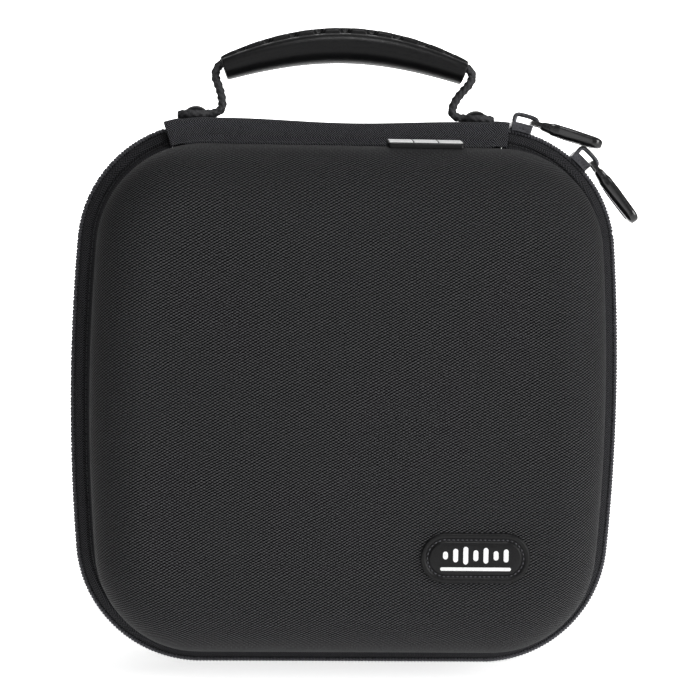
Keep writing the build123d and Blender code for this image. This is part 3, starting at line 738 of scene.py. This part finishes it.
# The rounded ends keep the tilt of the first rows inside them.
tilt = np.where(fullness < 1, np.sign(-station) * np.abs(tilt[len(inside) + 1]), tilt)
up = np.stack([-np.sin(tilt), np.zeros(len(station)), np.cos(tilt)], -1)
grip_line = np.stack([grip_middle_x + station * grip_half, np.full(len(station), rope_depth), centre_z], -1)
grip_grid = grip_line[:, None] + (reach * np.cos(angle))[..., None] * np.array([0, 1, 0]) \
    + (reach * np.sin(angle))[..., None] * up[:, None]
grip = surface("grip_moulding", grip_grid[:, :-1], pairs(station * grip_half, angle * 8 * mm), across=True)
finished(grip, soft_rubber, ["handle_grip"], "handle")


# --- The sliders and their pulls ---
# Two zinc castings plated gunmetal, each with a bridge, a wire link and a glossy moulded pull with
# a waisted neck and a stepped pad. The frame's bodies and links are kept, with their edges rounded,
# and the bridges and pulls are made anew.
gunmetal = grained("gunmetal plated zinc", "#48484b", "#5e5e62", 0.9 * mm, 0.01 * mm, (0.25, 0.45),
                   Metallic=1.0)
black_lacquer = grained("black lacquered wire", "#0c0c0d", "#161617", 0.8 * mm, 0.01 * mm, (0.2, 0.35))
glossy_rubber = grained("polished moulded rubber", "#0c0c0d", "#151516", 1.2 * mm, 0.02 * mm, (0.16, 0.26),
                        Coat_Weight=0.3, Coat_Roughness=0.15)


def softened(name, node, width):
    """A copy of a frame solid with its loose triangles joined and its sharp edges rounded."""
    made = bpy.data.objects.new(name, frame["nodes"][node].data.copy())
    made.data.materials.clear()
    bpy.context.scene.collection.objects.link(made)
    joined = bmesh.new()
    joined.from_mesh(made.data)
    bmesh.ops.remove_doubles(joined, verts=joined.verts, dist=1e-6)
    bmesh.ops.dissolve_limit(joined, angle_limit=math.radians(2), verts=joined.verts, edges=joined.edges)
    joined.to_mesh(made.data)
    joined.free()
    made.data.shade_smooth()
    edges = made.modifiers.new("rounded edges", "BEVEL")
    edges.width = width
    edges.segments = 3
    edges.limit_method = "ANGLE"
    edges.angle_limit = math.radians(40)
    edges.harden_normals = True
    return made


def pull(name, pivot, fall):
    """A moulded pull along a falling line from its pivot: a superellipse whose width and thickness
    follow the neck, the pad and the rounded end, in millimetres."""
    root, tip = 3.3, 29.7
    along_pull = np.concatenate([[root], np.linspace(root, tip, 110), [tip]])
    end = np.sqrt(np.clip(1 - ((along_pull - 26.2) / 3.5).clip(0) ** 2, 0, 1))
    start = np.sqrt(np.clip(1 - ((4.9 - along_pull) / 1.6).clip(0) ** 2, 0.03, 1))
    width = np.interp(along_pull, [root, 7, 11, 19, 25, tip], [3.0, 2.7, 2.9, 4.0, 4.7, 4.5]) * end * start
    thick = np.interp(along_pull, [root, 7.6, 8.8, 15.0, 24, 27, tip], [1.6, 2.1, 2.5, 2.6, 2.4, 2.3, 2.1])
    thick = thick * np.sqrt(end * start)
    width[[0, -1]] = thick[[0, -1]] = 0
    turn = np.linspace(0, 2 * math.pi, 49)
    reach = superellipse(turn[None], np.maximum(width, 1e-3)[:, None], np.maximum(thick, 1e-3)[:, None], 3.6)
    pad_share = np.clip((along_pull - 10.8) / 0.6, 0, 1) * np.clip((26.8 - along_pull) / 0.6, 0, 1)
    recess = np.clip((np.abs(np.sin(turn))[None] - 0.86) / 0.05, 0, 1) * pad_share[:, None]
    recess_depth = 0.35
    reach = (reach - recess_depth * recess) * mm
    direction = np.array([math.cos(fall), 0, -math.sin(fall)])
    outward = np.array([math.sin(fall), 0, math.cos(fall)])
    line = np.array(pivot) + along_pull[:, None] * mm * direction
    grid = line[:, None] + (reach * np.cos(turn))[..., None] * np.array([0, 1, 0]) \
        + (reach * np.sin(turn))[..., None] * outward
    return surface(name, grid[:, :-1], pairs(along_pull * mm, turn * 3 * mm), across=True, flip=True)


joints = {joint["name"]: joint for joint in frame["joints"]}
corner_middle = np.array([corner_x, 0, middle * 2 - corner_radius])
# Each bridge's line, as turns and distances about the corner's middle, and the turn that sets it
# back from the pivot.
bridge_setback = math.radians(4.3)
arch_turn = np.radians([-3.3, -3.5, -2.9, 0.5, 4.5, 6.0, 6.3])
arch_radius = np.array([53.6, 56.0, 57.5, 57.6, 57.5, 57.0, 56.0]) * mm
arch_section = superellipse(np.linspace(0, 2 * math.pi, 29)[None], 0.85 * mm, 1.5 * mm, 3.5)
for which, fall in (("upper", math.radians(16.5)), ("lower", math.radians(52.0))):
    casting = softened(f"{which}_slider_casting", f"{which}_slider_body", width=0.7 * mm)
    finished(casting, gunmetal, [f"{which}_slider_body"], f"{which}_slider")
    from_corner = np.array(joints[f"{which}_pull_swing"]["pos_m"]) - corner_middle
    turned_to = math.atan2(from_corner[0], from_corner[2]) - bridge_setback + arch_turn
    arch_route = corner_middle + arch_radius[:, None] * np.column_stack([
        np.sin(turned_to), np.zeros(len(turned_to)), np.cos(turned_to)])
    arch_path = spline_path(f"{which}_arch_line", arch_route)
    bridge = tube(f"{which}_bridge_casting", arch_path, (0, 1, 0),
                  np.repeat(arch_section, len(arch_path), 0))
    finished(bridge, gunmetal, [f"{which}_slider_bridge"], f"{which}_slider")
    link = softened(f"{which}_pull_wire", f"{which}_pull_link", width=0.3 * mm)
    finished(link, black_lacquer, [f"{which}_pull_link"], f"{which}_pull")
    moulding = pull(f"{which}_pull_moulding", joints[f"{which}_pull_swing"]["pos_m"], fall)
    finished(moulding, glossy_rubber, [f"{which}_pull_grip"], f"{which}_pull")


# --- The badge ---
# A soft rubber badge, glued and sewn to the lid: a raised rim, a sewn groove and a plain raised
# panel with printed bars. The bars are the frame's own solids.
badge_low, badge_high = (np.array(corner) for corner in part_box("badge_plate"))
badge_middle = (badge_low + badge_high) / 2
badge_half_length, badge_half_width = (badge_high - badge_low)[[0, 2]] / 2
badge_straight = badge_half_length - badge_half_width
badge_points, badge_stitches = 161, 52
# Insets from the badge's edge, and heights above its glued side.
badge_heights = np.array([(0, -0.4), (0, 0.7), (0.15, 1.05), (0.5, 1.35), (1.0, 1.42), (1.6, 1.35),
                          (2.0, 1.05), (2.2, 0.85), (3.0, 0.85), (3.2, 1.0), (3.5, 1.45),
                          (3.9, 1.6), (6.0, 1.6), (9.7, 1.6)]) * mm


def stadium(count, inset):
    """Points round a stadium moved in by inset: two straight sides and two half circles."""
    turn = np.linspace(0, 2 * math.pi, count)
    end = np.where(np.cos(turn) >= 0, 1, -1) * badge_straight
    reach = badge_half_width - inset
    return np.stack([end + reach * np.cos(turn), reach * np.sin(turn)], -1)


rings = []
for inset, height in badge_heights:
    ring = stadium(badge_points, min(inset, badge_half_width - 1e-6))
    rings.append(np.column_stack([badge_middle[0] + ring[:, 0],
                                  np.full(badge_points, badge_high[1] - height),
                                  badge_middle[2] + ring[:, 1]]))
badge_grid = np.stack(rings, 1)
badge = surface("badge_moulding", badge_grid[:-1], badge_grid[..., [0, 2]], around=True)
finished(badge, soft_rubber, ["badge_plate"], "lid")
badge_path = spaced(stadium(badge_points, 2.6 * mm), badge_stitches + 1)[:-1]
badge_spots = np.column_stack([badge_middle[0] + badge_path[:, 0],
                               np.full(badge_stitches, badge_high[1] - 1.05 * mm),
                               badge_middle[2] + badge_path[:, 1]])
sewn = stitches("badge_stitches", badge_spots, np.roll(badge_spots, -1, 0) - np.roll(badge_spots, 1, 0),
                length=1.1 * mm, thickness=0.6 * mm)
finished(sewn, edge_cord, body="lid")
white_print = grained("white screen print", "#dcdcdc", "#f2f2f2", 0.8 * mm, 0.01 * mm, (0.5, 0.65))
dressed(white_print, "badge_mark")


# --- The edge label ---
# A thin moulded label bonded over the lid's top edge, with three plain printed bars.
label_low, label_high = (np.array(corner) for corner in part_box("edge_label"))
label_depth = np.linspace(-label_high[1], -label_low[1], 14)
label_top = np.linspace(3.0, 2.0, 14) * mm


def strip_on_shell(name, x0, x1, depth, low, high):
    """A slab that follows the shell over a run of depths, between two heights above it, with its
    corners rounded and its ends closed."""
    shell_depth, shell_inset = bowl_profile(0)
    inset = np.interp(depth, shell_depth, shell_inset)
    loop = rounded(np.concatenate([np.column_stack([depth, inset - high]),
                                   np.column_stack([depth, inset - low])[::-1]]))
    distance = np.concatenate([[x0], np.linspace(x0, x1, 30), [x1]])
    grid = carried(distance, -loop[:, 0], loop[:, 1])
    grid[[0, -1]] = grid[[0, -1]].mean(1, keepdims=True)
    chart = pairs(distance, np.linspace(0, 30 * mm, len(loop) + 1))
    return surface(name, grid, chart, across=True, flip=True)


label = strip_on_shell("edge_label_moulding", label_low[0], label_high[0], label_depth, -0.3 * mm, label_top)
finished(label, soft_rubber, ["edge_label"], "lid")
label_third = (label_high[0] - label_low[0]) / 3
bar_depth = np.linspace(22, 33, 14) * mm
bar_top = np.interp(bar_depth, label_depth, label_top)
for i in range(3):
    bar = strip_on_shell(f"edge_label_bar_{i + 1}", label_low[0] + (i + 0.03) * label_third,
                         label_low[0] + (i + 0.97) * label_third, bar_depth,
                         bar_top - 0.1 * mm, bar_top + 0.08 * mm)
    finished(bar, white_print, body="lid")


# --- The pocket inside the lid ---
# A panel of knitted mesh under a folded binding, open at the top, where a wide ribbed elastic
# holds it against the lining.
mesh_low, mesh_high = (np.array(corner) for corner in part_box("pocket_mesh"))
pocket_half = (mesh_high[0] - mesh_low[0]) / 2
pocket_corner = 18 * mm
mesh_rows, mesh_columns, mesh_bulge = 43, 73, 1.2 * mm
knitted_mesh, net_nodes, net_shader = material("knitted mesh", "#2a2a2d", 0.7)
net_chart = add(net_nodes, "ShaderNodeTexCoord").outputs["UV"]
net_cells = add(net_nodes, "ShaderNodeTexVoronoi",
                {"Vector": net_chart, "Scale": 1 / (2.6 * mm), "Randomness": 0.12})
net_holes = add(net_nodes, "ShaderNodeMapRange", {"Value": net_cells.outputs["Distance"], 1: 0.28, 2: 0.4})
# The holes are painted near black: painted shade in place of the lining seen through them.
shaded(net_nodes, net_shader, net_holes, "#040404", "#333337", net_holes, 0.4 * mm)
pocket_rows = np.linspace(mesh_low[2], mesh_high[2], mesh_rows)
bottom_drop = np.clip((mesh_low[2] + pocket_corner - pocket_rows) / pocket_corner, 0, 1)
row_half = pocket_half - pocket_corner * (1 - np.sqrt(1 - bottom_drop ** 2))
mesh_share = np.linspace(-1, 1, mesh_columns)[None]
mesh_x = mesh_share * row_half[:, None]
mesh_z = np.repeat(pocket_rows[:, None], mesh_columns, 1)
swell = mesh_bulge * np.sin(np.pi * (mesh_share + 1) / 2) \
    * np.sin(np.pi * np.linspace(0, 1, mesh_rows))[:, None]
mesh_y = mesh_low[1] + 0.5 * mm + swell
panel = surface("pocket_mesh_panel", np.stack([mesh_x, mesh_y, mesh_z], -1), np.stack([mesh_x, mesh_z], -1),
                flip=True)
walled(panel, 0.4 * mm, 0)
finished(panel, knitted_mesh, ["pocket_mesh"], "lid")

edge_angle = np.linspace(0, math.pi / 2, 15)
half_edge = np.concatenate([
    [(pocket_half, mesh_high[2])],
    np.column_stack([pocket_half - pocket_corner + pocket_corner * np.cos(edge_angle),
                     mesh_low[2] + pocket_corner - pocket_corner * np.sin(edge_angle)])])
edge_path = np.concatenate([half_edge, half_edge[::-1] * [-1, 1]])
even_run = np.linspace(0, lengths(*edge_path.T)[-1], 200)
edge_path = spaced(edge_path, len(even_run))
edge_inward = unit(np.gradient(edge_path, axis=0)[:, ::-1] * [1, -1])
edge_inward *= np.sign(((np.array([0, middle]) - edge_path) * edge_inward).sum(1, keepdims=True))
tape_outline = rounded([(-0.4, 0.0), (5.0, 0.0), (5.0, 2.1), (2.4, 2.4), (-0.4, 2.1)]) * mm
flat = edge_path[:, None] + tape_outline[None, :, :1] * edge_inward[:, None]
depths = np.broadcast_to(mesh_low[1] + tape_outline[:, 1], flat.shape[:2])
edge_grid = np.stack([flat[..., 0], depths, flat[..., 1]], -1)
edge_grid[[0, -1]] = edge_grid[[0, -1]].mean(1, keepdims=True)
edge_chart = pairs(even_run, np.linspace(0, 14 * mm, len(tape_outline) + 1))
edge_tape = surface("pocket_edge_binding", edge_grid, edge_chart, across=True)
finished(edge_tape, bias_tape, ["pocket_binding"], "lid")

elastic_low, elastic_high = (np.array(corner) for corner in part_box("pocket_elastic"))
elastic_x = np.linspace(elastic_low[0] - 1.5 * mm, elastic_high[0] + 1.5 * mm, 220)
elastic_outline = rounded([(0.9, 0), (1.0, 8), (3.0, 8.2), (3.3, 6.4), (2.9, 5.6), (3.3, 4.0), (2.9, 2.4),
                           (3.3, 1.6), (3.0, -0.2)]) * mm
gather = 0.18 * mm * np.sin(elastic_x / (0.75 * mm))
elastic_proud = elastic_outline[None, :, 0]
elastic_y = mesh_low[1] + elastic_proud + gather[:, None] * (elastic_proud > 2 * mm)
elastic_z = np.broadcast_to(elastic_low[2] + elastic_outline[:, 1], elastic_y.shape)
elastic_grid = np.stack([np.broadcast_to(elastic_x[:, None], elastic_y.shape), elastic_y, elastic_z], -1)
elastic_grid[[0, -1]] = elastic_grid[[0, -1]].mean(1, keepdims=True)
elastic_chart = pairs(elastic_x, np.linspace(0, 20 * mm, len(elastic_outline) + 1))
# Light rib crowns here are painted highlight, and dark grooves painted shade.
ribbed_elastic = ribbed("ribbed elastic", "#2d2d30", "#0f0f10", pitch=1.5 * mm, band=400 * mm,
                        depth=0.1 * mm, roughness=0.75)
hem = surface("pocket_elastic_hem", elastic_grid, elastic_chart, across=True)
finished(hem, ribbed_elastic, ["pocket_elastic"], "lid")
